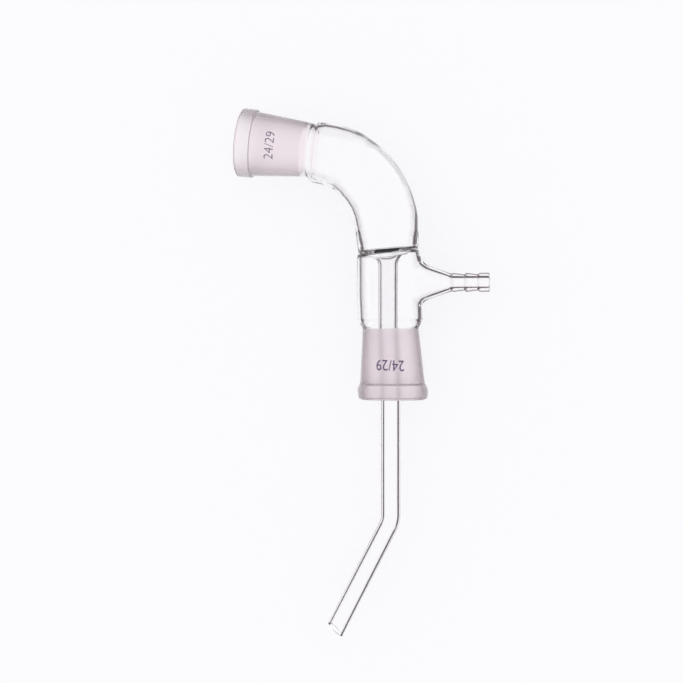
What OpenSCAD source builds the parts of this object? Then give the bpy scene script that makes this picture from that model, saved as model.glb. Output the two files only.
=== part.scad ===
// Vacuum take-off adapter: one piece of blown glass.
// Condensate runs in at the inlet socket, round the bend and down the drip tube,
// while the side arm draws air out of the jacket that surrounds the drip tube.
// It is shaped upright, with the drip tube along Z and the outlet mouth at z = 0,
// and then laid on its side the way it comes to rest on a bench.

/* [Ground sockets] */
// Bore at the mouth, the large end of the standard 24/29 taper
joint_d = 24; // [16:0.1:27]
// Ground length, the second number of the joint size
joint_l = 29; // [15:0.5:40]
// Loss of bore diameter per length of the ground taper
joint_taper = 0.1; // [0.08:0.005:0.12]
// Depth of the fire-polished lip in front of the ground bore
lip_l = 0.5; // [0.3:0.1:1]
// Glass wall where the cone meets the bead
socket_wall = 1.75; // [1.2:0.05:3]
// Glass wall at the narrow end of the cone
socket_end_wall = 1.15; // [0.8:0.05:2]
// How far the bead stands out from the cone
bead_rise = 1.3; // [0.8:0.05:3]
// Length of the bead along the socket
bead_l = 6.2; // [3:0.1:9]
// Rounding of the bead's edges
bead_round = 0.8; // [0.2:0.1:1]
// Length over which a socket widens into its tube
neck_l = 3.6; // [2:0.1:8]

/* [Wide tube] */
// Outer diameter of the bend and of the jacket
tube_d = 27; // [25:0.1:32]
// Wall of the bend and of the jacket
tube_wall = 1.7; // [0.9:0.1:2]
// Radius of the bend along its middle line
bend_r = 32.8; // [20:0.1:60]
// Angle that the bend turns through
bend_angle = 83; // [60:0.5:100]
// Straight tube between the bend and the inlet neck
inlet_run = 2.1; // [1:0.1:30]
// Straight tube between the ring seal and the bend
bend_run = 9; // [5:0.1:40]
// Length of the jacket from the outlet neck to the ring seal
jacket_l = 29.2; // [28:0.1:50]

/* [Ring seal and drip tube] */
// Outer diameter of the drip tube
drip_d = 8; // [6:0.1:9]
// Wall of the drip tube
drip_wall = 1; // [0.7:0.1:1.5]
// Rounding where the seal's web turns down into the drip tube
funnel_r = 5; // [2.5:0.1:6]
// Fall of the web towards the drip tube, in degrees
web_fall = 14; // [2:1:20]
// Thickness of the web at the jacket
web_wall = 1.6; // [1.2:0.1:3]
// Rounding of the corners between the web and the jacket
seal_round = 1.1; // [0.4:0.1:1.5]
// Depth of the shallow waist that the ring seal leaves outside
seal_waist = 0.35; // [0.1:0.05:0.6]
// Depth of the knee below the outlet mouth
drip_l = 52; // [20:0.5:120]
// Radius of the knee along its middle line
knee_r = 12; // [8:0.5:25]
// Angle that the tail turns away from the straight tube
tail_angle = 27; // [5:1:60]
// Length of the tail from the knee
tail_l = 50; // [20:0.5:100]
// Slant of the tail's cut end, in degrees
cut_angle = 16; // [0:1:40]

/* [Side arm] */
// Height of the side arm's axis above the outlet neck
arm_z = 15.8; // [13:0.1:17]
// Reach of the cone from the jacket's axis to the first rib
cone_reach = 25.4; // [22:0.1:50]
// Slope of the cone's side, in degrees
cone_angle = 19; // [12:0.5:22]
// Radius of the flare that joins the cone to the jacket
flare_r = 5.5; // [4:0.1:6]
// Wall of the cone
cone_wall = 1.4; // [0.9:0.1:1.6]
// Bore of the hose barb
barb_bore = 4.7; // [3:0.1:5.2]
// Diameter over the ribs and the end land
barb_d = 8; // [7.8:0.1:12]
// Depth of the groove in front of each rib
groove = 0.6; // [0.3:0.05:0.9]
// Number of ribs behind the end land
rib_count = 2; // [1:1:6]
// Length of each rib
rib_l = 5.5; // [3:0.1:10]
// Length of the steep back of a rib
rib_back = 0.8; // [0.4:0.1:2]
// Length of the plain end land
land_l = 4.1; // [2:0.1:12]
// Fire-polished rounding of the barb's mouth
tip_round = 0.4; // [0.2:0.05:0.6]

/* [Hidden] */
glass = [0.86, 0.90, 0.91, 0.45];
$fn = 72;
arc_steps = 8;
overrun = 2;
// A bent stretch is a touch thicker than the straight tubes, whose ends lap into its wall
bend_gain = 0.04;
bend_lap = 0.3;

// Sockets
socket_l = lip_l + joint_l;
neck_z = socket_l + neck_l;
mouth_r = joint_d / 2;
bead_bore_r = mouth_r - (bead_l - lip_l) * joint_taper / 2;
end_bore_r = mouth_r - joint_l * joint_taper / 2;
socket_r = bead_bore_r + socket_wall;
socket_end_r = end_bore_r + socket_end_wall;
bead_r = socket_r + bead_rise;

// Wide tube
tube_r = tube_d / 2;
tube_bore_r = tube_r - tube_wall;
seal_z = neck_z + jacket_l;
bend_z = seal_z + bend_run;
inlet_l = inlet_run + neck_z + bend_lap;
bend_outer_r = tube_r + bend_gain;

// Ring seal: a web that falls inwards, then turns down round funnel_r into the drip tube
drip_r = drip_d / 2;
drip_bore_r = drip_r - drip_wall;
web_edge_r = drip_bore_r + funnel_r * (1 - sin(web_fall));
web_edge_z = seal_z - (tube_bore_r - web_edge_r) * tan(web_fall);
funnel_centre = [drip_bore_r + funnel_r, web_edge_z - funnel_r * cos(web_fall)];
under_edge = funnel_centre + (funnel_r - drip_wall) * [-sin(web_fall), cos(web_fall)];
under_z = seal_z - web_wall;
under_fall = atan2(under_z - under_edge.y, tube_bore_r - under_edge.x);

// Knee and tail
knee_run = knee_r * tan(tail_angle / 2);
knee_z = knee_run - drip_l;
tail_run = tail_l - knee_run;

// Side arm
arm_height = neck_z + arm_z;
barb_r = barb_d / 2;
barb_bore_r = barb_bore / 2;
arm_neck_r = barb_bore_r + cone_wall;
land_x = cone_reach + rib_count * rib_l + rib_back;
arm_l = land_x + land_l;
flare_angle = 80;
bore_flare_angle = 60;
shoulder_angle = 70;
flare_root_x = tube_r - 1.2;
flare_x = flare_root_x + flare_r * sin(flare_angle);
flare_z = cone_side(flare_x - flare_r * sin(cone_angle), arm_neck_r) + flare_r * cos(cone_angle);
arm_start_x = tube_r * cos(shoulder_angle) + overrun;

// Rest: lying flat it would touch at both beads' inner edges, and it leans until the bend touches too
outlet_edge = [0, bead_l - bead_round];
inlet_edge = bend_end() + (neck_z + inlet_run - outlet_edge.y) * [-sin(bend_angle), cos(bend_angle)];
lean_side = atan2(outlet_edge.x - inlet_edge.x, inlet_edge.y - outlet_edge.y);
lean_arm = (bend_z - outlet_edge.y) * sin(lean_side) + bend_r * (1 - cos(lean_side));
lean = asin((bead_r - bend_outer_r) / lean_arm);
rest_z = bead_r + outlet_edge.y * sin(lean) * sin(lean_side);

// The origin is under the middle of the glass, between its furthest points either way
inlet_mouth = bend_end() + (neck_z + inlet_run) * [-sin(bend_angle), cos(bend_angle)];
tail_tip_y = -drip_l - tail_l * cos(tail_angle)
    - drip_r * (sin(tail_angle) + cos(tail_angle) * tan(cut_angle));
middle = [inlet_mouth.x - bead_r * cos(bend_angle) + arm_l,
    inlet_mouth.y + bead_r * sin(bend_angle) + tail_tip_y] / 2;

// Points of an arc round a centre, from one angle to another
function arc(centre, radius, from, to) =
    [for (i = [0:arc_steps]) let (a = from + (to - from) * i / arc_steps)
        centre + radius * [cos(a), sin(a)]];

// Soft change of radius over a height, as [radius, height] points
function ease(from_r, to_r, from_z, to_z) =
    [for (i = [0:arc_steps]) let (t = i / arc_steps)
        [from_r + (to_r - from_r) * (1 - cos(180 * t)) / 2, from_z + (to_z - from_z) * t]];

// Where the bend's middle line ends, as [x, z]
function bend_end() = [bend_r * (cos(bend_angle) - 1), bend_z + bend_r * sin(bend_angle)];

// Radius of the side arm's cone at a distance from the jacket's axis
function cone_side(x, neck_r) = neck_r + (cone_reach - x) * tan(cone_angle);

// Outside of a socket, from its mouth to the end of its neck
function socket_outside() = concat(
    arc([bead_r - bead_round, bead_round], bead_round, -90, 0),
    arc([bead_r - bead_round, bead_l - bead_round], bead_round, 0, 90),
    [[socket_r, bead_l]],
    ease(socket_end_r, tube_r, socket_l, neck_z));

// Bore of a socket, from the end of its neck back to its mouth
function socket_bore() = concat(
    ease(tube_bore_r, end_bore_r, neck_z, socket_l),
    [[mouth_r, lip_l], [mouth_r + lip_l, 0]]);

// Waist outside the ring seal
function waist() = concat(
    ease(tube_r, tube_r - seal_waist, under_z - web_wall, under_z),
    ease(tube_r - seal_waist, tube_r, under_z, seal_z + web_wall));

// Section of the glass that turns about the drip tube's axis
module core_section() {
    top_corner_z = seal_z + seal_round * (1 / cos(web_fall) - tan(web_fall));
    under_corner_z = under_z - seal_round * (1 / cos(under_fall) + tan(under_fall));
    polygon(concat(
        socket_outside(),
        waist(),
        [[tube_r, bend_z + bend_lap], [tube_bore_r, bend_z + bend_lap]],
        arc([tube_bore_r - seal_round, top_corner_z], seal_round, 0, web_fall - 90),
        arc(funnel_centre, funnel_r, 90 + web_fall, 180),
        [[drip_bore_r, knee_z - bend_lap], [drip_r, knee_z - bend_lap]],
        arc(funnel_centre, funnel_r - drip_wall, 180, 90 + web_fall),
        arc([tube_bore_r - seal_round, under_corner_z], seal_round, 90 + under_fall, 0),
        socket_bore()));
}

// Ring of glass, as a tube's section
module ring(outer_r, bore_r) {
    difference() {
        circle(outer_r);
        circle(bore_r);
    }
}

// Outlet socket, jacket, ring seal and straight drip tube
module core() {
    rotate_extrude() core_section();
}

// Bend from the jacket's top towards -X
module bend() {
    translate([-bend_r, 0, bend_z])
        rotate([90, 0, 0])
            rotate_extrude(angle = bend_angle)
                translate([bend_r, 0]) ring(bend_outer_r, tube_bore_r - bend_gain);
}

// Inlet socket with its straight run, at the end of the bend
module inlet() {
    flipped = [for (p = concat(socket_outside(), [[tube_r, inlet_l], [tube_bore_r, inlet_l]],
        socket_bore())) [p.x, inlet_l - bend_lap - p.y]];
    translate([-bend_r, 0, bend_z])
        rotate([0, -bend_angle, 0])
            translate([bend_r, 0, 0])
                rotate_extrude() polygon(flipped);
}

// Knee at the foot of the straight drip tube, turning towards -X
module knee() {
    translate([-knee_r, 0, knee_z])
        rotate([-90, 0, 0])
            rotate_extrude(angle = tail_angle)
                translate([knee_r, 0]) ring(drip_r + bend_gain, drip_bore_r - bend_gain);
}

// Tail of the drip tube with its slanted end
module tail() {
    slant_l = drip_r * tan(cut_angle) + overrun;
    translate([-knee_r, 0, knee_z])
        rotate([0, tail_angle, 0])
            translate([knee_r, 0, -tail_run])
                difference() {
                    translate([0, 0, -slant_l])
                        linear_extrude(tail_run + slant_l + bend_lap) ring(drip_r, drip_bore_r);
                    rotate([0, cut_angle, 0])
                        translate([-drip_d, -drip_d, -2 * slant_l])
                            cube([2 * drip_d, 2 * drip_d, 2 * slant_l]);
                }
}

// Flared cone of the side arm: turned about the arm, and held to the jacket's width
module cone_form(neck_r, grow, jacket_r, end_angle) {
    side = concat(
        [[0, arm_start_x], [0, cone_reach], [neck_r, cone_reach]],
        [for (p = arc([0, 0], flare_r + grow, cone_angle, end_angle))
            [flare_z - p.x, flare_x - p.y]],
        [[flare_z - (flare_r + grow) * cos(end_angle), arm_start_x]]);
    shoulder = jacket_r * [cos(shoulder_angle), sin(shoulder_angle)];
    tip_x = flare_x - flare_r * sin(cone_angle) + overrun;
    tip = [tip_x, cone_side(tip_x, neck_r) + overrun / 20];
    intersection() {
        rotate([0, 90, 0]) rotate_extrude() polygon(side);
        linear_extrude(4 * tube_r, center = true)
            polygon([shoulder, tip, [arm_l, tip.y], [arm_l, -tip.y], [tip.x, -tip.y],
                [shoulder.x, -shoulder.y]]);
    }
}

// Hose barb: ribs that taper towards the mouth, and a plain end land
module barb() {
    low_r = barb_r - groove;
    ribs = [for (i = [0:rib_count - 1]) let (x = cone_reach + i * rib_l)
        each [[i == 0 ? arm_neck_r : low_r, x], [barb_r, x + rib_back], [low_r, x + rib_l]]];
    rotate([0, 90, 0])
        rotate_extrude()
            polygon(concat([[barb_bore_r, cone_reach]], ribs, [[barb_r, land_x]],
                arc([barb_r - tip_round, arm_l - tip_round], tip_round, 0, 90),
                arc([barb_bore_r + tip_round, arm_l - tip_round], tip_round, 90, 180)));
}

// Jacket and drip tube with the side arm's cone blown out of the jacket's wall
module jacket() {
    difference() {
        union() {
            core();
            translate([0, 0, arm_height])
                difference() {
                    cone_form(arm_neck_r, 0, tube_r, flare_angle);
                    cylinder(h = 4 * tube_r, r = tube_bore_r, center = true);
                }
        }
        translate([0, 0, arm_height]) cone_form(barb_bore_r, cone_wall, tube_bore_r, bore_flare_angle);
    }
}

// The whole glass, standing upright
module upright() {
    jacket();
    translate([0, 0, arm_height]) barb();
    bend();
    inlet();
    knee();
    tail();
}

// Laid on its side: down becomes -Z, the inlet's side stays at -X and the bend leans to the bench
module adapter() {
    color(glass)
        translate([-middle.x, -middle.y, rest_z])
            rotate(a = lean, v = [-sin(lean_side), cos(lean_side), 0])
                rotate([-90, 0, 0]) upright();
}

adapter();
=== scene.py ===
from math import atan2, cos, hypot, pi, radians, sin, tan

import bmesh
import bpy
from mathutils import Matrix, Vector


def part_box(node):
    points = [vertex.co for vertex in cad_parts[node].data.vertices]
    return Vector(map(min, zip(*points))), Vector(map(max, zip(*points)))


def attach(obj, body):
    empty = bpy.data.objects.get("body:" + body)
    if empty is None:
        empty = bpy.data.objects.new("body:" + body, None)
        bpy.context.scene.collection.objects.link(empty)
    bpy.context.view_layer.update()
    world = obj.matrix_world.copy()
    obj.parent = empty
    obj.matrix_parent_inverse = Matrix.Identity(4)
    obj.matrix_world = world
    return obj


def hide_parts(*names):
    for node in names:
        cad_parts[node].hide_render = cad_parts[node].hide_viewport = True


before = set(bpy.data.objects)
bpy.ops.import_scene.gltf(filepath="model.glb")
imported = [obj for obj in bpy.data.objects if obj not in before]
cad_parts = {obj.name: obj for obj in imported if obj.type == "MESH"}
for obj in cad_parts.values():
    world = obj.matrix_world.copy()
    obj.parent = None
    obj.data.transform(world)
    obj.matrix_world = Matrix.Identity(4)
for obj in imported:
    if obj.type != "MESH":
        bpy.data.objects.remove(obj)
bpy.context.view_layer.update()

# All lengths are in mm and the glass is shaped upright: drip tube on z, outlet mouth at z = 0,
# inlet towards -x and side arm towards +x. layDown then puts it on the bench.
socket = {
    "mouthRadius": 12.0,
    "taper": 0.05,  # loss of radius per length
    "lip": 0.5,
    "lipRound": 0.3,
    "length": 29.5,
    "frosted": (0.3, 29.5),  # depths between which the bore is ground
    "rings": (29.5,),  # depths at which the finish of the bore changes
    "boreSlack": 0.12,  # a face this near the cone of the bore belongs to it
    "wallAtBead": 1.85,
    "wallAtEnd": 1.15,
    "beadRise": 1.22,
    "beadLength": 6.5,
    "beadRound": 0.8,
    "soft": True,  # a bulging bead in place of a square one
    "bulge": {"sunk": 0.25, "halfAngle": 88, "steps": 16},
    "footRound": 0.15,
    "footRun": 0.4,
    "footShadeLine": 0.5,  # how far the painted shade line at the bead's foot reaches
    "rimShadeLine": (0.6, 1.0),  # depths between which the painted shade line runs round the mouth
    "rimShadeBand": (0.8, 2),  # its radii, past the mouth's and past the wall's
    "neck": 3.6,
    "neckEase": (1.0, 0.9),  # how much deeper the bore eases than the outside does
    "lean": 1.15,  # how far the outlet's mouth strays towards the arm
}
inletSocket = {
    **socket,
    "frosted": (0.3, 27.2),
    "rings": (29.5, 27.2),
    "wallAtBead": 1.9,
    "wallAtEnd": 0.85,
    "beadRise": 0.85,
    "beadLength": 6.2,
    "soft": False,
    "footRound": 0.3,
    "rimShadeLine": (-0.1, 0.45),
    "neckBore": (27.2, 31.2),  # depths of the fire-polished neck and of the ridge in it
    "neckRidge": (30.8, 31.2),
    "neckInside": 11.2,  # a face nearer the axis than this is bore
}
wideTube = {
    "radius": 13.5,
    "bore": 11.75,
    "sides": 128,
    "bendRadius": 32.8,
    "bendAngle": 83,
    "bendSteps": 56,
    "inletRun": 2.1,
    "bendRun": 9.0,
    "jacket": 29.2,
    "boreBand": (0.1, 0.6),  # distances off the bore over which thinning fades
    "fade": 3,  # how far outside the tube its strays fade away
    # how the blown bend shrinks and strays from a true arc: station along it, size, stray
    "swell": ((-13.0, 1.0, -0.45), (-10.5, 0.97, -0.75), (-9.0, 0.945, -0.9),
              (-7.0, 0.95, -0.95), (-3.5, 0.965, -1.25), (0.0, 0.983, -1.5), (4.0, 0.996, -1.62),
              (10.0, 0.986, -1.72), (18.0, 0.984, -1.69), (26.0, 0.978, -1.56),
              (31.0, 0.969, -1.18), (36.0, 0.967, -0.68), (43.0, 0.955, -0.64),
              (47.5, 0.95, -0.52), (50.5, 0.945, -0.45), (54.0, 1.0, 0.5)),
    "lean": (-36.0, -28.0),  # stations between which the jacket starts to stray
    # how much thinner the wall is blown: station, loss on the outside and inside of the bend
    "thinned": ((-4.0, 0.0, 0.0), (0.0, 0.25, 0.1), (8.0, 1.1, 0.3), (14.0, 1.4, 0.4),
                (28.0, 1.35, 0.4), (34.0, 0.9, 0.4), (38.0, 0.55, 0.35), (43.0, 0.35, 0.3),
                (47.5, 0.25, 0.2), (48.8, 0.0, 0.0)),
}
ringSeal = {
    "fall": 14,  # degrees
    "wall": 1.5,
    "funnel": 5.0,
    "corner": 1.1,
    "footCorner": 0.8,  # the corner at the bend's foot, as a share of the web's
    "waist": 0.35,
    "waistReach": 1.9,
    "foot": 0.7,  # thickening of the bend's foot
    "tilt": 5,  # degrees askew, about a level this deep and dying out this far from it
    "tiltDepth": 1,
    "tiltReach": 9,
}
dripTube = {
    "radius": 4.0,
    "bore": 2.75,
    "endBore": 3.05,  # the wall thins towards the tail's end
    "length": 50.9,
    "kneeRadius": 12,
    "kneeAngle": 27,
    "kneeSteps": 24,
    "tail": 51.3,
    "cut": 16,
    "aside": 0.15,  # where it hangs free
    "stray": -0.97,  # inside the jacket
    "strayHeights": (5, 33),
    "rows": 12,
    "reach": (5, 9),  # radii over which its strays give way to the jacket's
    "sealReach": (5, 11),  # the same from the ring seal up
}
sideArm = {
    "height": 15.6,
    "columns": 20,  # half the patch, in sides of the wide tube
    "patch": (10.8, 10.2),  # half the patch's height outside and inside
    "patchSlack": 0.1,  # a face this near the wall belongs to it
    "rimSlack": 0.001,
    "ovalAngle": (52, 48),
    "ovalHeight": (10.6, 9.9),
    "bow": (0.36, 0.5),  # how far the flare keeps to the wall and to the cone
    "ringsOnWall": 3,
    "ringsOnFlare": 14,
    "coneStart": 17.3,
    "coneEnd": 25.4,
    "slope": 18.8,
    "wall": 1.65,
    "bore": 2.1,
    "throatRound": 1.5,
    "ribRadius": 4.0,
    "groove": 0.6,
    "ribs": 2,
    "ribLength": 5.5,
    "ribBack": 0.8,
    "land": 4.1,
    "mouthRound": 0.4,
    "ribRound": 0.22,
    "edgeShadedRun": 1,  # how far back on the cone the barb's painted edge shade starts
    "edgeShadedRadius": 5,
    "stepFloor": 3.2,  # radius past which a face is on the outside of the ribs
}
# Degrees the glass tips until its bend touches the bench, and the bearing it tips towards
rest = {"lean": 1.89517, "leanSide": 29.7639}

socketNeck = socket["length"] + socket["neck"]
sealHeight = socketNeck + wideTube["jacket"]
bendHeight = sealHeight + wideTube["bendRun"]
armHeight = socketNeck + sideArm["height"]
kneeRun = dripTube["kneeRadius"] * tan(radians(dripTube["kneeAngle"]) / 2)
kneeHeight = kneeRun - dripTube["length"]
blownFrom, jacketStray = wideTube["swell"][0][0], wideTube["swell"][0][2]
inletStray = wideTube["swell"][-1][2]


def arcPoints(centre, radius, start, end, steps=10):
    angles = [radians(start + (end - start) * i / steps) for i in range(steps + 1)]
    return [(centre[0] + radius * cos(a), centre[1] + radius * sin(a)) for a in angles]


def easePoints(fromRadius, toRadius, fromHeight, toHeight, steps=10):
    points = []
    for i in range(steps + 1):
        share = i / steps
        soft = (1 - cos(pi * share)) / 2
        points.append((fromRadius + (toRadius - fromRadius) * soft,
                       fromHeight + (toHeight - fromHeight) * share))
    return points


def rowPoints(radius, low, high, rows):
    return [(radius, low + (high - low) * i / rows) for i in range(rows + 1)]


# A wire of (radius, height) points, each with an optional rounding, turned about z
def turnedSkin(points, sides):
    bm = bmesh.new()
    verts = [bm.verts.new((p[0], 0, p[1])) for p in points]
    for a, b in zip(verts, verts[1:]):
        bm.edges.new((a, b))
    roundings = {}
    for vert, point in zip(verts, points):
        if len(point) > 2:
            roundings.setdefault(point[2], []).append(vert)
    for size, corners in roundings.items():
        bmesh.ops.bevel(bm, geom=corners, offset=size, offset_type="OFFSET", segments=6,
                        profile=0.5, affect="VERTICES", material=-1)
    bmesh.ops.spin(bm, geom=bm.verts[:] + bm.edges[:], cent=(0, 0, 0), axis=(0, 0, 1),
                   angle=2 * pi, steps=sides, use_merge=True)
    return bm


def addSkin(bm, part, place=Matrix.Identity(4)):
    bmesh.ops.transform(part, matrix=place, verts=part.verts)
    shape = bpy.data.meshes.new("skin")
    part.to_mesh(shape)
    part.free()
    bm.from_mesh(shape)
    bpy.data.meshes.remove(shape)


def boreAt(s, depth):
    return s["mouthRadius"] - (depth - s["lip"]) * s["taper"]


# Outside radii of a socket's cone, at its bead and at its narrow end
def coneRadii(s):
    return (boreAt(s, s["beadLength"]) + s["wallAtBead"],
            boreAt(s, s["length"]) + s["wallAtEnd"])


def socketOutside(s):
    footRadius, endRadius = coneRadii(s)
    beadRadius = footRadius + s["beadRise"]
    bead = [(beadRadius, 0, s["beadRound"]), (beadRadius, s["beadLength"], s["beadRound"])]
    if s["soft"]:
        bulge = s["bulge"]
        middle, rise = s["beadLength"] / 2, s["beadRise"] + bulge["sunk"]
        bead = [(beadRadius - rise + rise * x, middle * (1 + y))
                for x, y in arcPoints((0, 0), 1, -bulge["halfAngle"], bulge["halfAngle"],
                                      bulge["steps"])]
    share = s["footRun"] / (s["length"] - s["beadLength"])
    foot = [(footRadius, s["beadLength"], s["footRound"]),
            (footRadius + (endRadius - footRadius) * share, s["beadLength"] + s["footRun"])]
    return bead + foot + easePoints(endRadius, wideTube["radius"], s["length"], socketNeck)


def socketBore(s):
    endBore = boreAt(s, s["length"])
    deeperStart, deeperEnd = s["neckEase"]
    neck = easePoints(wideTube["bore"], endBore, socketNeck + deeperStart,
                      s["length"] + deeperEnd)
    rings = [(max(boreAt(s, depth), endBore), depth) for depth in s["rings"]]
    mouth = [(s["mouthRadius"], s["lip"], s["lipRound"]),
             (s["mouthRadius"] + s["lip"], 0, s["lipRound"])]
    return neck + rings + mouth


# Outlet socket, jacket, ring seal and straight drip tube
def coreSkins():
    r, bore = wideTube["radius"], wideTube["bore"]
    drip, dripBore = dripTube["radius"], dripTube["bore"]
    fall, funnel = radians(ringSeal["fall"]), ringSeal["funnel"]
    under = sealHeight - ringSeal["wall"]
    webEdge = dripBore + funnel * (1 - sin(fall))
    centre = (dripBore + funnel, sealHeight - (bore - webEdge) * tan(fall) - funnel * cos(fall))
    outerRows, innerRows = sideArm["patch"]
    rows = 2 * sideArm["columns"]
    outside = socketOutside(socket)
    outside += rowPoints(r, armHeight - outerRows, armHeight + outerRows, rows)
    waist, reach = ringSeal["waist"], ringSeal["waistReach"]
    outside += easePoints(r, r - waist, sealHeight - reach, sealHeight)[1:]
    outside += easePoints(r - waist, r, sealHeight, sealHeight + reach)[1:]
    outside += [(r, bendHeight)]
    low, high = dripTube["strayHeights"]
    inside = [(drip, kneeHeight)] + rowPoints(drip, low, high, dripTube["rows"])
    inside += arcPoints(centre, funnel - (drip - dripBore), 180, 90 + ringSeal["fall"])
    inside += [(bore, under, ringSeal["corner"])]
    inside += rowPoints(bore, armHeight + innerRows, armHeight - innerRows, rows)
    jacketWall = inside + socketBore(socket) + outside
    foot = bore - ringSeal["foot"]
    throughBore = easePoints(bore, foot, bendHeight, sealHeight + ringSeal["corner"])
    throughBore += [(foot, sealHeight, ringSeal["corner"] * ringSeal["footCorner"])]
    throughBore += arcPoints(centre, funnel, 90 + ringSeal["fall"], 180)
    throughBore += rowPoints(dripBore, high, low, dripTube["rows"]) + [(dripBore, kneeHeight)]
    return turnedSkin(jacketWall, wideTube["sides"]), turnedSkin(throughBore, wideTube["sides"])


# Open edges that lie on a level ring
def ringAt(bm, height, radius, aside=0.0, level=1e-4, slack=0.02):
    return [e for e in bm.edges if e.is_boundary and all(
        abs(v.co.z - height) < level and abs(hypot(v.co.x - aside, v.co.y) - radius) < slack
        for v in e.verts)]


# Carries an open ring on round a bend and gives back the ring at its end
def sweepRing(bm, ring, centre, axis, angle, steps):
    bm.normal_update()
    last = bmesh.ops.spin(bm, geom=ring, cent=centre, axis=axis, angle=radians(angle),
                          steps=steps, use_duplicate=False)["geom_last"]
    return [g for g in last if isinstance(g, bmesh.types.BMEdge)]


# Adds one more ring of faces to an open rim. place turns a point's key into its new position
def growRing(bm, edges, keys, place):
    fresh = bmesh.ops.extrude_edge_only(bm, edges=edges)["geom"]
    newKeys = {}
    for vert in fresh:
        if isinstance(vert, bmesh.types.BMVert):
            old = next(e.other_vert(vert) for e in vert.link_edges if e.other_vert(vert) in keys)
            newKeys[vert] = keys[old]
            vert.co = place(keys[old])
    ring = [e for e in fresh if isinstance(e, bmesh.types.BMEdge) and e.is_boundary]
    return ring, newKeys


# The side arm's root: the wall is opened and drawn out in rings, first to an oval on the
# wall and then along a bowed flare to the start of the cone. side is 0 outside and 1 inside
def drawOutArm(bm, radius, side):
    a = sideArm
    halfTurn = radians(360 / wideTube["sides"] * a["columns"])
    halfRise = a["patch"][side]
    ovalTurn, ovalRise = radians(a["ovalAngle"][side]), a["ovalHeight"][side]
    coneRadius = a["bore"] + (a["coneEnd"] - a["coneStart"]) * tan(radians(a["slope"]))
    coneRadius += 0 if side else a["wall"]

    def onPatch(point, slack=0.0):
        return (abs(hypot(point.x, point.y) - radius) < a["patchSlack"]
                and abs(atan2(point.y, point.x)) < halfTurn + slack
                and abs(point.z - armHeight) < halfRise + slack)

    hole = [f for f in bm.faces if onPatch(f.calc_center_median())]
    bmesh.ops.delete(bm, geom=hole, context="FACES")
    edges = [e for e in bm.edges
             if e.is_boundary and all(onPatch(v.co, a["rimSlack"]) for v in e.verts)]
    rim = {v for e in edges for v in e.verts}

    def turnOf(vert):
        return atan2(atan2(vert.co.y, vert.co.x) / halfTurn, (vert.co.z - armHeight) / halfRise)

    order = sorted(rim, key=turnOf)
    top = min(range(len(order)), key=lambda i: abs(turnOf(order[i])))
    keys = {}
    for i, vert in enumerate(order):
        angle = 2 * pi * (i - top) / len(order)
        keys[vert] = (atan2(vert.co.y, vert.co.x), vert.co.z - armHeight, angle)

    def onWall(turn, rise):
        return Vector((radius * cos(turn), radius * sin(turn), armHeight + rise))

    for step in range(1, a["ringsOnWall"] + 1):
        share = step / a["ringsOnWall"]

        def onTheWall(key):
            turn, rise, angle = key
            return onWall(turn + (ovalTurn * sin(angle) - turn) * share,
                          rise + (ovalRise * cos(angle) - rise) * share)

        edges, keys = growRing(bm, edges, keys, onTheWall)
    slope = radians(a["slope"])
    for step in range(1, a["ringsOnFlare"] + 1):
        t = step / a["ringsOnFlare"]

        def onFlare(key):
            angle = key[2]
            turn = ovalTurn * sin(angle)
            start = onWall(turn, ovalRise * cos(angle))
            inwards = Vector((sin(turn) * radius * ovalTurn * sin(angle),
                              -cos(turn) * radius * ovalTurn * sin(angle),
                              -ovalRise * cos(angle))).normalized()
            end = Vector((a["coneStart"], coneRadius * sin(angle),
                          armHeight + coneRadius * cos(angle)))
            along = Vector((cos(slope), -sin(slope) * sin(angle), -sin(slope) * cos(angle)))
            reach = (end - start).length
            wallEnd = start + inwards * reach * a["bow"][0]
            coneEnd = end - along * reach * a["bow"][1]
            return (start * (1 - t) ** 3 + 3 * t * (1 - t) ** 2 * wallEnd
                    + 3 * t ** 2 * (1 - t) * coneEnd + end * t ** 3)

        edges, keys = growRing(bm, edges, keys, onFlare)
    return len(order)


# Cone and hose barb, turned about z and then laid along the arm
def barbSkin(sides):
    a = sideArm
    grow = (a["coneEnd"] - a["coneStart"]) * tan(radians(a["slope"]))
    neck = a["bore"] + a["wall"]
    low, soft = a["ribRadius"] - a["groove"], a["ribRound"]
    points = [(neck + grow, a["coneStart"]), (neck, a["coneEnd"], soft)]
    for i in range(a["ribs"]):
        x = a["coneEnd"] + i * a["ribLength"]
        points += [(a["ribRadius"], x + a["ribBack"], soft), (low, x + a["ribLength"], soft)]
    landStart = a["coneEnd"] + a["ribs"] * a["ribLength"] + a["ribBack"]
    mouth = landStart + a["land"]
    points += [(a["ribRadius"], landStart, soft), (a["ribRadius"], mouth, a["mouthRound"]),
               (a["bore"], mouth, a["mouthRound"]),
               (a["bore"], a["coneEnd"], a["throatRound"]),
               (a["bore"] + grow, a["coneStart"])]
    part = turnedSkin(points, sides)
    along = Matrix.Translation((0, 0, armHeight)) @ Matrix.Rotation(pi / 2, 4, "Y")
    return part, along


def ease(value, low, high):
    share = min(max((value - low) / (high - low), 0), 1)
    return share * share * (3 - 2 * share)


# What a table of the blown bend gives at a station, in mm along it from where the arc begins
def blownAt(name, station):
    rows = wideTube[name]
    station = min(max(station, rows[0][0]), rows[-1][0])
    before, after = next(pair for pair in zip(rows, rows[1:]) if station <= pair[1][0])
    soft = ease(station, before[0], after[0])
    return [a + (b - a) * soft for a, b in zip(before[1:], after[1:])]


# 1 on the wide tube and inside it, and 0 a little way outside, where the side arm is
def onTube(away):
    return ease(away, wideTube["radius"] + wideTube["fade"], wideTube["radius"])


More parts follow.
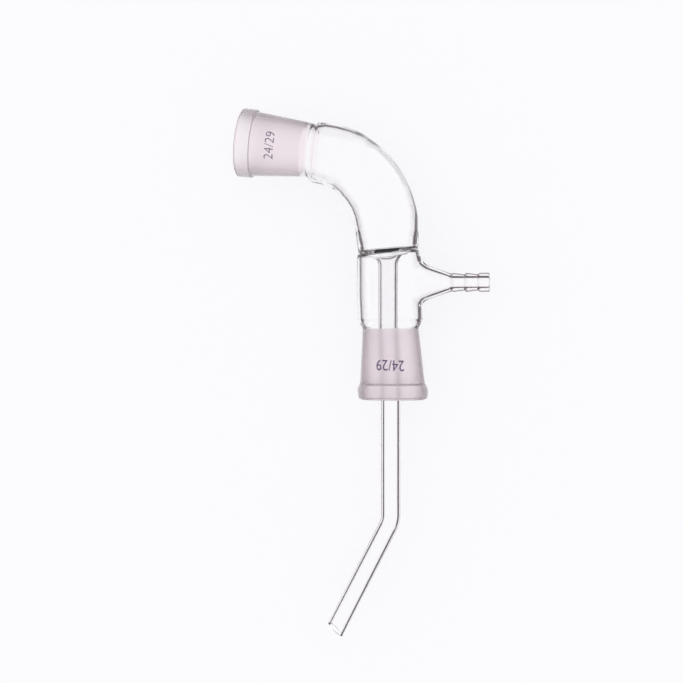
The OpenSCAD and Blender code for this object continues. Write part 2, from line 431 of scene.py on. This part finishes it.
# Thins the wall of the bend towards its bore, then shrinks and shifts it about its axis
def blowBend(bm):
    bend, turn = wideTube["bendRadius"], radians(wideTube["bendAngle"])
    centre = Vector((-bend, 0, bendHeight))
    near, far = dripTube["sealReach"]
    for vert in bm.verts:
        spoke = vert.co - centre
        if spoke.z < blownFrom:
            continue
        angle = min(max(atan2(spoke.z, spoke.x), 0), turn)
        outwards = Vector((cos(angle), 0, sin(angle)))
        forwards = Vector((-sin(angle), 0, cos(angle)))
        run = spoke.dot(forwards)
        station = bend * angle + run
        size, stray = blownAt("swell", station)
        axisPoint = centre + outwards * bend + forwards * run
        away = (vert.co - axisPoint).length
        onBore = 1 - ease(abs(away - wideTube["bore"]), *wideTube["boreBand"])
        if onBore > 0:
            outer, inner = blownAt("thinned", station)
            turned = ease((vert.co - axisPoint).dot(outwards) / away, -1, 1)
            thin = (inner + (outer - inner) * turned) * onBore
            vert.co = axisPoint + (vert.co - axisPoint) * (1 + thin / away)
        if spoke.z < 0:
            size = 1 + (size - 1) * ease(away, near, far)
            if spoke.z < -wideTube["bendRun"]:
                stray += (dripTube["stray"] - stray) * ease(away, far, near)
            stray *= onTube(away)
        depth = vert.co.y * min(size, 1)
        vert.co = axisPoint + (vert.co - axisPoint) * size + outwards * stray
        vert.co.y = depth


def outletStray(height):
    return socket["lean"] * max(1 - height / socketNeck, 0)


# The outlet leans out a little, and so do the jacket and its drip tube on the way to the seal
def leanCore(bm):
    start, end = wideTube["lean"]
    low, high = dripTube["strayHeights"]
    near, far = dripTube["reach"]
    for vert in bm.verts:
        station = vert.co.z - bendHeight
        if station >= blownFrom:
            continue
        away = hypot(vert.co.x, vert.co.y)
        drip = dripTube["aside"]
        drip += (dripTube["stray"] - drip) * ease(vert.co.z, low, high)
        wall = jacketStray * ease(station, start, end)
        wall *= onTube(away)
        wall += outletStray(vert.co.z)
        vert.co.x += wall + (drip - wall) * ease(away, far, near)


# The hand-made seal sits a little askew across the tube
def tiltSeal(bm):
    slope, reach = tan(radians(ringSeal["tilt"])), ringSeal["tiltReach"]
    for vert in bm.verts:
        near = 1 - ease(abs(vert.co.z - sealHeight + ringSeal["tiltDepth"]), 0, reach)
        vert.co.z += vert.co.x * slope * onTube(hypot(vert.co.x, vert.co.y)) * near


def inletPlace(stray=0.0):
    return (Matrix.Translation((-wideTube["bendRadius"], 0, bendHeight))
            @ Matrix.Rotation(-radians(wideTube["bendAngle"]), 4, "Y")
            @ Matrix.Translation((wideTube["bendRadius"] + stray, 0, 0)))


def inletSkin():
    end = wideTube["inletRun"] + socketNeck
    points = [(wideTube["radius"], end)] + socketOutside(inletSocket)[::-1]
    points += socketBore(inletSocket)[::-1] + [(wideTube["bore"], end)]
    flipped = [(p[0], end - p[1], *p[2:]) for p in points]
    part = turnedSkin(flipped, wideTube["sides"])
    bmesh.ops.transform(part, matrix=inletPlace(), verts=part.verts)
    blowBend(part)
    return part


# Draws the two rings of the knee's end out to the slanted cut and closes the cut
def addTail(bm, rings):
    lean = radians(dripTube["kneeAngle"])
    along = Vector((-sin(lean), 0, -cos(lean)))
    across = Vector((cos(lean), 0, -sin(lean)))
    start = Vector((dripTube["aside"] - dripTube["kneeRadius"], 0, kneeHeight))
    start += across * dripTube["kneeRadius"]
    run = dripTube["tail"] - kneeRun
    ends = []
    for ring, growth in zip(rings, (1, dripTube["endBore"] / dripTube["bore"])):
        fresh = bmesh.ops.extrude_edge_only(bm, edges=ring)["geom"]
        for vert in fresh:
            if isinstance(vert, bmesh.types.BMVert):
                vert.co = start + (vert.co - start) * growth
                side = (vert.co - start).dot(across)
                vert.co += along * (run + side * tan(radians(dripTube["cut"])))
        ends += [e for e in fresh if isinstance(e, bmesh.types.BMEdge) and e.is_boundary]
    bmesh.ops.bridge_loops(bm, edges=ends)


def layDown():
    lean, side = radians(rest["lean"]), radians(rest["leanSide"])
    return (Matrix.Rotation(lean, 4, Vector((-sin(side), cos(side), 0)))
            @ Matrix.Rotation(-pi / 2, 4, "X"))


def makeGlass():
    jacketWall, throughBore = coreSkins()
    armSides = drawOutArm(jacketWall, wideTube["radius"], 0)
    drawOutArm(jacketWall, wideTube["bore"], 1)
    bm = bmesh.new()
    addSkin(bm, jacketWall)
    addSkin(bm, throughBore)
    tiltSeal(bm)
    print("core and arm root:", len(bm.faces))
    bend = wideTube["bendRadius"]
    for radius in (wideTube["radius"], wideTube["bore"]):
        sweepRing(bm, ringAt(bm, bendHeight, radius), (-bend, 0, bendHeight), (0, -1, 0),
                  wideTube["bendAngle"], wideTube["bendSteps"])
    blowBend(bm)
    leanCore(bm)
    kneeCentre = (dripTube["aside"] - dripTube["kneeRadius"], 0, kneeHeight)
    addTail(bm, [sweepRing(bm, ringAt(bm, kneeHeight, radius, dripTube["aside"]), kneeCentre,
                           (0, 1, 0), dripTube["kneeAngle"], dripTube["kneeSteps"])
                 for radius in (dripTube["radius"], dripTube["bore"])])
    addSkin(bm, *barbSkin(armSides))
    addSkin(bm, inletSkin())
    bmesh.ops.remove_doubles(bm, verts=bm.verts, dist=0.002)
    bmesh.ops.recalc_face_normals(bm, faces=bm.faces)
    openEdges = [e for e in bm.edges if not e.is_manifold]
    print("glass skin:", len(bm.faces), "faces,", len(openEdges), "open edges")
    return bm


# Slots of the glass: the two ground bores, the painted shade lines round the beads, the hose barb
# with the ridge in the inlet's neck (darker towards grazing angles, painted shade), that neck's
# fire-polished bore and the barb's steps (greyer, painted shade)
clearSlot, outletSlot, inletSlot, shadeLineSlot, edgeShadedSlot, neckSlot, shadedStepSlot = range(7)


# Faces that take the painted shade line: at the bead's foot and round the mouth
def isShadeLine(s, radius, depth):
    foot = boreAt(s, depth) + s["wallAtBead"]
    nearFoot = abs(depth - s["beadLength"]) < s["footShadeLine"] and abs(radius - foot) < s["footShadeLine"]
    top, bottom = s["rimShadeLine"]
    inner, outer = s["rimShadeBand"]
    return nearFoot or (top < depth < bottom
                        and s["mouthRadius"] + inner < radius < foot + outer)


def socketFinish(s, ground, radius, depth):
    start, end = s["frosted"]
    if start < depth < end and abs(radius - boreAt(s, depth)) < s["boreSlack"]:
        return ground
    return shadeLineSlot if isShadeLine(s, radius, depth) else clearSlot


def neckFinish(radius, depth):
    low, high = inletSocket["neckBore"]
    ridgeLow, ridgeHigh = inletSocket["neckRidge"]
    if not low < depth < high or radius >= inletSocket["neckInside"]:
        return clearSlot
    return edgeShadedSlot if ridgeLow < depth < ridgeHigh else neckSlot


def barbFinish(radius, along):
    a = sideArm
    if along <= -a["edgeShadedRun"] or radius >= a["edgeShadedRadius"]:
        return clearSlot
    onStep = 0 < along % a["ribLength"] < a["ribBack"]
    return shadedStepSlot if onStep and radius > a["stepFloor"] else edgeShadedSlot


# A face takes the last of these finishes that isn't clear
def sortFaces(bm):
    inletUp = inletPlace(inletStray).inverted()
    mouth = wideTube["inletRun"] + socketNeck
    for face in bm.faces:
        centre = face.calc_center_median()
        local = inletUp @ centre
        inletRadius, depth = hypot(local.x, local.y), mouth - local.z
        outletRadius = hypot(centre.x - outletStray(centre.z), centre.y)
        armRadius = hypot(centre.y, centre.z - armHeight)
        for slot in (socketFinish(socket, outletSlot, outletRadius, centre.z),
                     socketFinish(inletSocket, inletSlot, inletRadius, depth),
                     neckFinish(inletRadius, depth),
                     barbFinish(armRadius, centre.x - sideArm["coneEnd"])):
            face.material_index = slot or face.material_index


def finishPiece(bm, name, place, finishes, sharpAngle=35):
    for edge in bm.edges:
        edge.smooth = edge.calc_face_angle(0) < radians(sharpAngle)
    for face in bm.faces:
        face.smooth = True
    bmesh.ops.transform(bm, matrix=place, verts=bm.verts)
    shape = bpy.data.meshes.new(name)
    bm.to_mesh(shape)
    bm.free()
    piece = bpy.data.objects.new(name, shape)
    bpy.context.scene.collection.objects.link(piece)
    for finish in finishes:
        shape.materials.append(finish)
    return piece


# Arithmetic on a node's output adds the Math nodes
class Signal:
    def __init__(self, finish, socketOut):
        self.finish, self.out = finish, socketOut

    def math(self, operation, other, swap=False):
        pair = (other, self) if swap else (self, other)
        return self.finish.add("ShaderNodeMath", {"operation": operation}, *pair)

    def __add__(self, other):
        return self.math("ADD", other)

    def __sub__(self, other):
        return self.math("SUBTRACT", other)

    def __rsub__(self, other):
        return self.math("SUBTRACT", other, swap=True)

    def __mul__(self, other):
        return self.math("MULTIPLY", other)

    __radd__, __rmul__ = __add__, __mul__


# A material or world being built: every node comes from add
class Finish:
    def __init__(self, owner):
        self.owner = owner
        owner.use_nodes = True
        self.tree = owner.node_tree
        self.tree.nodes.clear()

    def add(self, kind, settings=None, *values, output=0, **named):
        node = self.tree.nodes.new(kind)
        for key, value in (settings or {}).items():
            setattr(node, key, value)
        inputs = [*enumerate(values), *((k.replace("_", " "), v) for k, v in named.items())]
        for key, value in inputs:
            target = node.inputs[key]
            if isinstance(value, Signal):
                self.tree.links.new(value.out, target)
            elif value is not None:
                target.default_value = value
        return Signal(self, node.outputs[output]) if len(node.outputs) else None

    def dot(self, place, axis):
        return self.add("ShaderNodeVectorMath", {"operation": "DOT_PRODUCT"}, place, tuple(axis),
                        output="Value")

    def smoothStep(self, value, low, high):
        return self.add("ShaderNodeMapRange", {"interpolation_type": "SMOOTHSTEP"}, value,
                        low, high, 0.0, 1.0)

    def mixColours(self, factor, first, second):
        return self.add("ShaderNodeMix", {"data_type": "RGBA"}, factor, None, None, None, None,
                        None, first, second, output=2)


glassLook = {
    "clear": (0.996, 0.994, 0.996, 1),
    # edge: painted shade, the dark colour that barb and step glass take towards grazing angles
    "edge": (0.10, 0.07, 0.08, 1),
    # step: painted shade, a greyer glass on the barb's rib steps so that they show as lines
    "step": (0.84, 0.80, 0.82, 1),
    "edgeShadeFacing": (0.40, 0.54),
    "frost": ((0.97, 0.84, 0.885, 1), (1.0, 0.935, 0.965, 1)),
    "grain": (0.45, 0.55),  # shares of the fine rings and of the soft clouds
    # frostShadeFacing: facings over which the painted edge shade of the ground sockets comes in
    "frostShadeFacing": (0.35, 0.85),
    "frostRoughness": (0.46, 0.12),  # the least, and what the grain adds
    # painted shade: the darker, pinker colour each ground socket takes towards grazing angles
    "outletShadeEdge": (0.77, 0.40, 0.51, 1),
    "inletShadeEdge": (1.0, 0.79, 0.86, 1),
    "neck": (0.975, 0.935, 0.955, 1),
    "neckRoughness": (0.1, 0.1),
    # groove: painted shade, the grey band at the bead's foot and round the mouths, in patches of
    # two greys
    "groove": ((0.40, 0.36, 0.38, 1), (0.56, 0.50, 0.53, 1)),
    "index": 1.473,
}


def clearGlass(name, tint, edgeShaded=False):
    finish = Finish(bpy.data.materials.new(name))
    place = finish.add("ShaderNodeTexCoord", output="Object")
    draw = finish.add("ShaderNodeTexNoise", None, Vector=place, Scale=70, Detail=1.0)
    wave = finish.add("ShaderNodeBump", None, Strength=0.05, Distance=0.002, Height=draw)
    colour = glassLook[tint]
    # Painted shade: towards grazing angles the base colour darkens to the edge colour, for dark
    # outlines
    if edgeShaded:
        facing = finish.add("ShaderNodeLayerWeight", None, Blend=0.5, output="Facing")
        rim = finish.smoothStep(facing, *glassLook["edgeShadeFacing"])
        colour = finish.mixColours(rim, glassLook[tint], glassLook["edge"])
    surface = finish.add("ShaderNodeBsdfPrincipled", None, Base_Color=colour,
                         Roughness=0.0, IOR=glassLook["index"], Transmission_Weight=1.0,
                         Normal=wave)
    finish.add("ShaderNodeOutputMaterial", None, surface)
    return finish.owner


def neckGlass():
    finish = Finish(bpy.data.materials.new("fire-polished neck"))
    place = finish.add("ShaderNodeTexCoord", output="Object")
    melt = finish.add("ShaderNodeTexNoise", None, Vector=place, Scale=200, Detail=2.0)
    least, more = glassLook["neckRoughness"]
    surface = finish.add("ShaderNodeBsdfPrincipled", None, Base_Color=glassLook["neck"],
                         Roughness=least + melt * more, IOR=glassLook["index"],
                         Transmission_Weight=1.0)
    finish.add("ShaderNodeOutputMaterial", None, surface)
    return finish.owner


# Painted shade: a dim grey, half-clear glass for the dark lines at the bead's foot and round the
# mouths
def paintedShadeLineGlass():
    finish = Finish(bpy.data.materials.new("painted shade line glass"))
    place = finish.add("ShaderNodeTexCoord", output="Object")
    patches = finish.add("ShaderNodeTexNoise", None, Vector=place, Scale=300, Detail=2.0)
    colour = finish.mixColours(patches, *glassLook["groove"])
    surface = finish.add("ShaderNodeBsdfPrincipled", None, Base_Color=colour, Roughness=0.25,
                         IOR=glassLook["index"], Transmission_Weight=0.6)
    finish.add("ShaderNodeOutputMaterial", None, surface)
    return finish.owner


# Ground with grit in turning strokes, so its tone changes in fine rings and in soft clouds
def groundGlass(name, axis, edge):
    finish = Finish(bpy.data.materials.new(name))
    place = finish.add("ShaderNodeTexCoord", output="Object")
    along = finish.dot(place, axis)
    rings = finish.add("ShaderNodeTexNoise", {"noise_dimensions": "1D"}, W=along, Scale=900,
                       Detail=2.0)
    cloud = finish.add("ShaderNodeTexNoise", None, Vector=place, Scale=160, Detail=3.0)
    ringShare, cloudShare = glassLook["grain"]
    tone = rings * ringShare + cloud * cloudShare
    flat = finish.mixColours(tone, *glassLook["frost"])
    # Painted shade: towards grazing angles the ground glass turns to the socket's darker, pinker
    # edge colour
    facing = finish.add("ShaderNodeLayerWeight", None, Blend=0.5, output="Facing")
    rim = finish.smoothStep(facing, *glassLook["frostShadeFacing"])
    colour = finish.mixColours(rim, flat, glassLook[edge])
    least, more = glassLook["frostRoughness"]
    surface = finish.add("ShaderNodeBsdfPrincipled", None, Base_Color=colour,
                         Roughness=least + tone * more, IOR=glassLook["index"],
                         Transmission_Weight=1.0)
    finish.add("ShaderNodeOutputMaterial", None, surface)
    return finish.owner


glass = makeGlass()
sortFaces(glass)
down = layDown()
toMetres = Matrix.Scale(0.001, 4)
bmesh.ops.transform(glass, matrix=toMetres @ down, verts=glass.verts)
low = Vector([min(v.co[i] for v in glass.verts) for i in range(3)])
high = Vector([max(v.co[i] for v in glass.verts) for i in range(3)])
nodeLow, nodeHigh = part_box("adapter")
onBench = Matrix.Translation((nodeLow + nodeHigh) / 2 - (low + high) / 2)
upright = onBench @ toMetres @ down  # from the upright glass in mm to the bench
print("offset:", [round(v * 1000, 3) for v in onBench.translation],
      "size:", [round(v * 1000, 3) for v in high - low])
bendTurn = radians(wideTube["bendAngle"])
inletAxis = Vector((-sin(bendTurn), 0, cos(bendTurn)))
finishes = [  # in the order of the slots
    clearGlass("clear glass", "clear"),
    groundGlass("ground outlet", down.to_3x3() @ Vector((0, 0, 1)), "outletShadeEdge"),
    groundGlass("ground inlet", down.to_3x3() @ inletAxis, "inletShadeEdge"),
    paintedShadeLineGlass(),
    clearGlass("shaded barb glass", "clear", edgeShaded=True),
    neckGlass(),
    clearGlass("shaded step glass", "step", edgeShaded=True),
]
adapter = finishPiece(glass, "glass_adapter", onBench, finishes)
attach(adapter, "root")
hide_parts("adapter")
print("glass placed")

# Small joint-size figures fired on each socket. turn is measured from the front, towards +x
figures = {
    "text": "24/29",
    "size": 5.3,
    "lift": 0.012,
    "thickness": 0.025,
    "cut": 0.4,  # width of the strips they are cut in, so that they bend round the cone
    "cuts": 24,  # to each side
    "roughness": (0.35, 0.2),
    "outlet": {"height": 14.65, "turn": 3.2, "tilt": -1.9, "stretch": 1.2, "bolder": 0,
               "ink": ((0.05, 0.03, 0.10, 1), (0.10, 0.07, 0.17, 1))},
    "inlet": {"height": 15.0, "turn": 6.1, "tilt": -0.5, "stretch": 1.05, "bolder": -0.04,
              "ink": ((0.11, 0.085, 0.15, 1), (0.20, 0.17, 0.25, 1))},
}


def enamel(name, ink):
    finish = Finish(bpy.data.materials.new(name))
    place = finish.add("ShaderNodeTexCoord", output="Object")
    wear = finish.add("ShaderNodeTexNoise", None, Vector=place, Scale=1400, Detail=2.0)
    colour = finish.mixColours(wear, *ink)
    least, more = figures["roughness"]
    surface = finish.add("ShaderNodeBsdfPrincipled", None, Base_Color=colour,
                         Roughness=least + wear * more)
    finish.add("ShaderNodeOutputMaterial", None, surface)
    return finish.owner


def coneOutside(s, height):
    foot, end = coneRadii(s)
    return foot + (end - foot) * (height - s["beadLength"]) / (s["length"] - s["beadLength"])


# Figures read with their tops towards the socket's mouth
def printFigures(name, s, where, place, stray=None):
    curve = bpy.data.curves.new(name, "FONT")
    curve.body = figures["text"]
    curve.size = figures["size"]
    curve.align_x, curve.align_y = "CENTER", "CENTER"
    curve.extrude = figures["thickness"] / 2
    curve.offset = where["bolder"]
    writing = bpy.data.objects.new(name, curve)
    bpy.context.scene.collection.objects.link(writing)
    bpy.context.view_layer.update()
    shape = bpy.data.meshes.new_from_object(writing.evaluated_get(
        bpy.context.evaluated_depsgraph_get()))
    bpy.data.objects.remove(writing)
    bm = bmesh.new()
    bm.from_mesh(shape)
    bpy.data.meshes.remove(shape)
    bmesh.ops.remove_doubles(bm, verts=bm.verts, dist=0.0005)
    bmesh.ops.rotate(bm, verts=bm.verts, cent=(0, 0, 0),
                     matrix=Matrix.Rotation(radians(where["tilt"]), 3, "Z"))
    bmesh.ops.scale(bm, verts=bm.verts, vec=(1, where["stretch"], 1))
    for i in range(-figures["cuts"], figures["cuts"] + 1):
        bmesh.ops.bisect_plane(bm, geom=bm.verts[:] + bm.edges[:] + bm.faces[:], dist=1e-5,
                               plane_co=(i * figures["cut"], 0, 0), plane_no=(1, 0, 0))
    for vert in bm.verts:
        height = where["height"] - vert.co.y
        cone = coneOutside(s, height)
        radius = cone + figures["lift"] + figures["thickness"] / 2 + vert.co.z
        angle = radians(where["turn"]) - vert.co.x / cone
        aside = stray(height) if stray else 0
        vert.co = (radius * sin(angle) + aside, -radius * cos(angle), height)
    bmesh.ops.recalc_face_normals(bm, faces=bm.faces)
    piece = finishPiece(bm, name, place, [enamel(name + " enamel", where["ink"])])
    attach(piece, "root")


inletMouth = (inletPlace(inletStray)
              @ Matrix.Translation((0, 0, wideTube["inletRun"] + socketNeck))
              @ Matrix.Rotation(pi, 4, "X") @ Matrix.Rotation(pi, 4, "Z"))
printFigures("outlet_figures", socket, figures["outlet"], upright, outletStray)
printFigures("inlet_figures", inletSocket, figures["inlet"], upright @ inletMouth)
print("figures printed")

studio = {
    "floorSize": 6.0,  # metres
    "floorColour": (0.973, 0.965, 0.991, 1),
    "shadowShare": 0.13,
    "light": 1.0,
    "cardColour": (0.075, 0.05, 0.055, 1),
    "above": 0.9,  # how much of the light from above reaches the glass's edges
    "horizon": 0.1,  # half width of the change from above to below
    # dark cards under the bench: bearing in degrees from the arm, start, end, half width, softness
    "cards": ((355, 0.27, 0.86, 0.32, 0.08), (48, 0.56, 0.90, 0.30, 0.08),
              (95, 0.52, 0.97, 0.42, 0.10), (153, 0.42, 0.92, 0.18, 0.05),
              (178, 0.57, 0.86, 0.30, 0.10), (208, 0.47, 0.80, 0.26, 0.08),
              (270, 0.76, 0.97, 0.50, 0.06), (306, 0.48, 0.92, 0.32, 0.08)),
    "cardFade": 0.06,  # softness of every card's far end
}
view = {"turn": 8.5, "distance": 600, "across": -20.4, "up": 24.2, "lens": 75.7}


def viewAxes():
    turn = radians(view["turn"])
    towards = Vector((sin(turn), -cos(turn), 0))
    across = Vector((cos(turn), sin(turn), 0))
    return across, Vector((0, 0, 1)), towards


def rayPath(finish, name):
    return finish.add("ShaderNodeLightPath", output=name)


# Rays that the glass has turned back inside its own wall
def turnedBack(finish):
    reflected = rayPath(finish, "Glossy Depth").math("MINIMUM", 1.0)
    entered = rayPath(finish, "Transmission Depth").math("MINIMUM", 1.0)
    return reflected * entered


def seenThroughGlass(finish):
    return rayPath(finish, "Is Transmission Ray").math("MAXIMUM",
                                                       rayPath(finish, "Is Glossy Ray"))


# Turned-back rays pass through the floor to the light and the dark cards below it
def floorFinish():
    finish = Finish(bpy.data.materials.new("pale floor"))
    camera = rayPath(finish, "Is Camera Ray")
    glow = finish.add("ShaderNodeEmission", None, studio["floorColour"], 1.0)
    diffuse = finish.add("ShaderNodeBsdfDiffuse", None, studio["floorColour"])
    clear = finish.add("ShaderNodeBsdfTransparent")
    share = seenThroughGlass(finish) + camera * (1 - studio["shadowShare"])
    plain = finish.add("ShaderNodeMixShader", None, share, diffuse, glow)
    surface = finish.add("ShaderNodeMixShader", None, turnedBack(finish), plain, clear)
    finish.add("ShaderNodeOutputMaterial", None, surface)
    return finish.owner


# Dark cards round the bench, below its level, give clear glass its edges
def lightPastCards(finish):
    across, up, towards = [down.to_3x3() @ axis for axis in viewAxes()]
    place = finish.add("ShaderNodeTexCoord", output="Generated")
    step, fade, horizon = finish.smoothStep, studio["cardFade"], studio["horizon"]
    lit = 1.0
    for bearing, start, end, half, soft in studio["cards"]:
        turn = radians(bearing)
        outwards = finish.dot(place, across * cos(turn) + up * sin(turn))
        aside = finish.dot(place, up * cos(turn) - across * sin(turn))
        width = finish.add("ShaderNodeMath", {"operation": "ABSOLUTE"}, aside)
        card = step(outwards, start - soft, start + soft) * (1 - step(outwards, end, end + fade))
        card = card * (1 - step(width, half - soft, half + soft))
        lit = (1 - card) * lit
    above = step(finish.dot(place, towards), -horizon, horizon)
    return lit * (1 - above) + above * studio["above"]


def makeStage():
    bm = bmesh.new()
    bmesh.ops.create_grid(bm, x_segments=1, y_segments=1, size=studio["floorSize"] / 2)
    floor = finishPiece(bm, "floor", Matrix.Identity(4), [floorFinish()])
    world = bpy.data.worlds.new("studio")
    bpy.context.scene.world = world
    finish = Finish(world)
    seen = rayPath(finish, "Is Camera Ray").math("MAXIMUM", seenThroughGlass(finish))
    pale = finish.mixColours(seen, (1, 1, 1, 1), studio["floorColour"])
    carded = finish.mixColours(lightPastCards(finish), studio["cardColour"],
                               studio["floorColour"])
    colour = finish.mixColours(turnedBack(finish), pale, carded)
    surface = finish.add("ShaderNodeBackground", None, colour, studio["light"])
    finish.add("ShaderNodeOutputWorld", None, surface)


def makeCamera():
    across, up, towards = viewAxes()
    target = across * view["across"] + up * view["up"]
    eye = target + towards * view["distance"]
    data = bpy.data.cameras.new("camera")
    data.lens = view["lens"]
    data.sensor_width = 36
    data.clip_start, data.clip_end = 0.01, 20
    camera = bpy.data.objects.new("camera", data)
    bpy.context.scene.collection.objects.link(camera)
    axes = Matrix((across, up, towards)).transposed()
    turned = down.to_3x3() @ axes
    camera.matrix_world = Matrix.Translation(upright @ eye) @ turned.to_4x4()
    bpy.context.scene.camera = camera


makeStage()
makeCamera()
bpy.context.scene.view_settings.view_transform = "Standard"
print("stage and camera ready")
